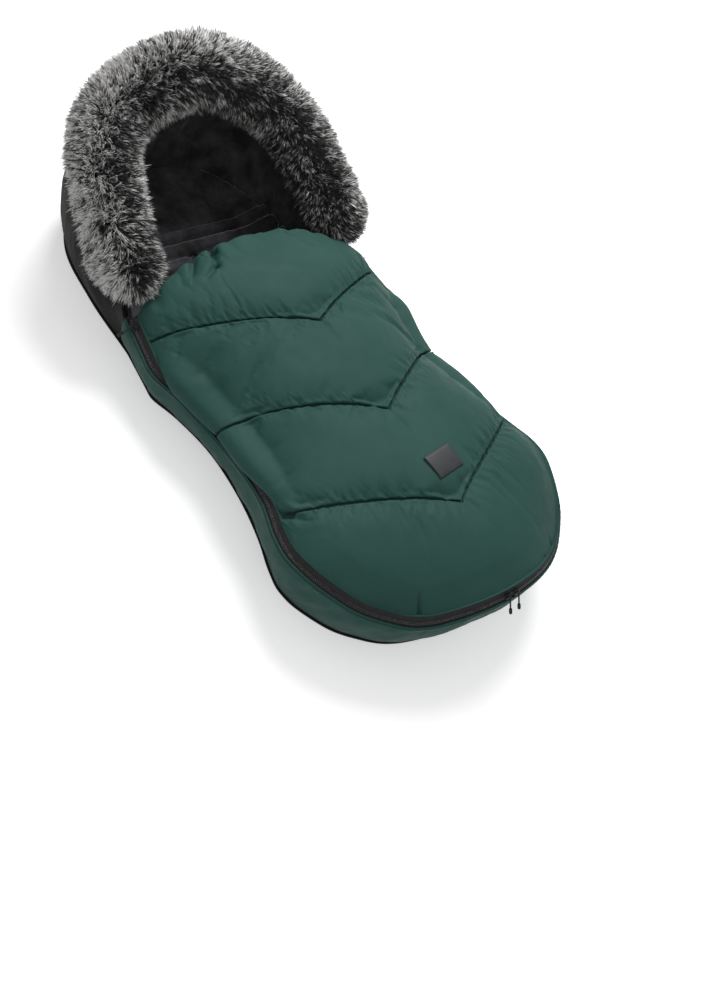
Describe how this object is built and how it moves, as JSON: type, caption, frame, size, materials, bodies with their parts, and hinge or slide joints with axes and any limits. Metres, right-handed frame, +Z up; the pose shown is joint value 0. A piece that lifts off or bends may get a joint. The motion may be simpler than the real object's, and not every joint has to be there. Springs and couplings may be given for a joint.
{
  "type": "baby bunting bag",
  "caption": "Quilted footmuff with a zipped apron that folds down, a fur-trimmed hood, plush lining and slots for a harness.",
  "frame": {"origin": "on the floor, under the middle of the bag as it lies on its back", "axes": "+X across the bag, +Y along it from the foot to the head, +Z up, from the back to the apron"},
  "size_m": [0.4722, 0.881, 0.2836],
  "materials": {
    "green_nylon": "satin",
    "plush_lining": "matte",
    "black_cloth": "matte",
    "binding_tape": "matte",
    "fur": "matte",
    "zip_tape": "matte",
    "zip_metal": "satin",
    "patch": "matte",
    "elastic": "matte"
  },
  "bodies": {
    "root": {"apron_foot_baffle": "green_nylon", "apron_lower_baffle": "green_nylon", "apron_lower_lining": "plush_lining", "back_lining": "plush_lining", "back_padding": "black_cloth", "back_panel": "black_cloth", "crotch_slot_binding": "binding_tape", "gusset_foot": "green_nylon", "gusset_left": "green_nylon", "gusset_lining": "plush_lining", "gusset_right": "green_nylon", "hood_lining": "plush_lining", "hood_shell": "black_cloth", "label_patch": "patch", "shoulder_slot_binding": "binding_tape", "zip_half_apron_lower": "zip_tape", "zip_half_base": "zip_tape", "zip_top_stop_left": "zip_metal", "zip_top_stop_right": "zip_metal"},
    "apron_flap": {"apron_middle_baffle": "green_nylon", "apron_top_baffle": "green_nylon", "apron_upper_lining": "plush_lining", "apron_hem": "green_nylon", "hem_elastic": "elastic", "zip_half_apron_left": "zip_tape", "zip_half_apron_right": "zip_tape"},
    "hood_rim": {"fur_trim": "fur"},
    "slider_foot_left": {"zip_slider_foot_left": "zip_metal"},
    "pull_foot_left": {"zip_pull_foot_left": "zip_metal"},
    "slider_foot_right": {"zip_slider_foot_right": "zip_metal"},
    "pull_foot_right": {"zip_pull_foot_right": "zip_metal"},
    "slider_top_left": {"zip_slider_top_left": "zip_metal"},
    "pull_top_left": {"zip_pull_top_left": "zip_metal"},
    "slider_top_right": {"zip_slider_top_right": "zip_metal"},
    "pull_top_right": {"zip_pull_top_right": "zip_metal"}
  },
  "joints": [
    {"name": "apron_fold", "type": "hinge", "parent": "root", "child": "apron_flap", "pos_m": [0, -0.1358, 0.1572], "axis": [1, 0, 0], "range_deg": [0, 150]},
    {"name": "hood_tilt", "type": "hinge", "parent": "root", "child": "hood_rim", "pos_m": [0, 0.15312, 0.07894], "axis": [1, 0, 0], "range_deg": [0, 25], "deforming": ["hood_shell", "hood_lining"]},
    {"name": "slider_foot_left", "type": "hinge", "parent": "root", "child": "slider_foot_left", "pos_m": [0, -0.21297, -0.05855], "axis": [0, 0.6428, 0.766], "range_deg": [-22, 0]},
    {"name": "slider_foot_right", "type": "hinge", "parent": "root", "child": "slider_foot_right", "pos_m": [0, -0.21297, -0.05855], "axis": [0, 0.6428, 0.766], "range_deg": [0, 22]},
    {"name": "slider_top_left", "type": "slide", "parent": "root", "child": "slider_top_left", "axis": [-0.151, -0.9821, -0.1123], "range_m": [0, 0.04]},
    {"name": "slider_top_right", "type": "slide", "parent": "root", "child": "slider_top_right", "axis": [0.151, -0.9821, -0.1123], "range_m": [0, 0.04]},
    {"name": "pull_foot_left", "type": "hinge", "parent": "slider_foot_left", "child": "pull_foot_left", "pos_m": [-0.00843, -0.42422, 0.11871], "axis": [-0.9995, 0.0234, -0.0196], "range_deg": [0, 95]},
    {"name": "pull_foot_right", "type": "hinge", "parent": "slider_foot_right", "child": "pull_foot_right", "pos_m": [0.00843, -0.42422, 0.11871], "axis": [-0.9995, -0.0234, 0.0196], "range_deg": [0, 95]},
    {"name": "pull_top_left", "type": "hinge", "parent": "slider_top_left", "child": "pull_top_left", "pos_m": [-0.21078, 0.13226, 0.08427], "axis": [0.151, 0.9821, 0.1123], "range_deg": [0, 95]},
    {"name": "pull_top_right", "type": "hinge", "parent": "slider_top_right", "child": "pull_top_right", "pos_m": [0.21078, 0.13226, 0.08427], "axis": [0.151, -0.9821, -0.1123], "range_deg": [0, 95]}
  ]
}
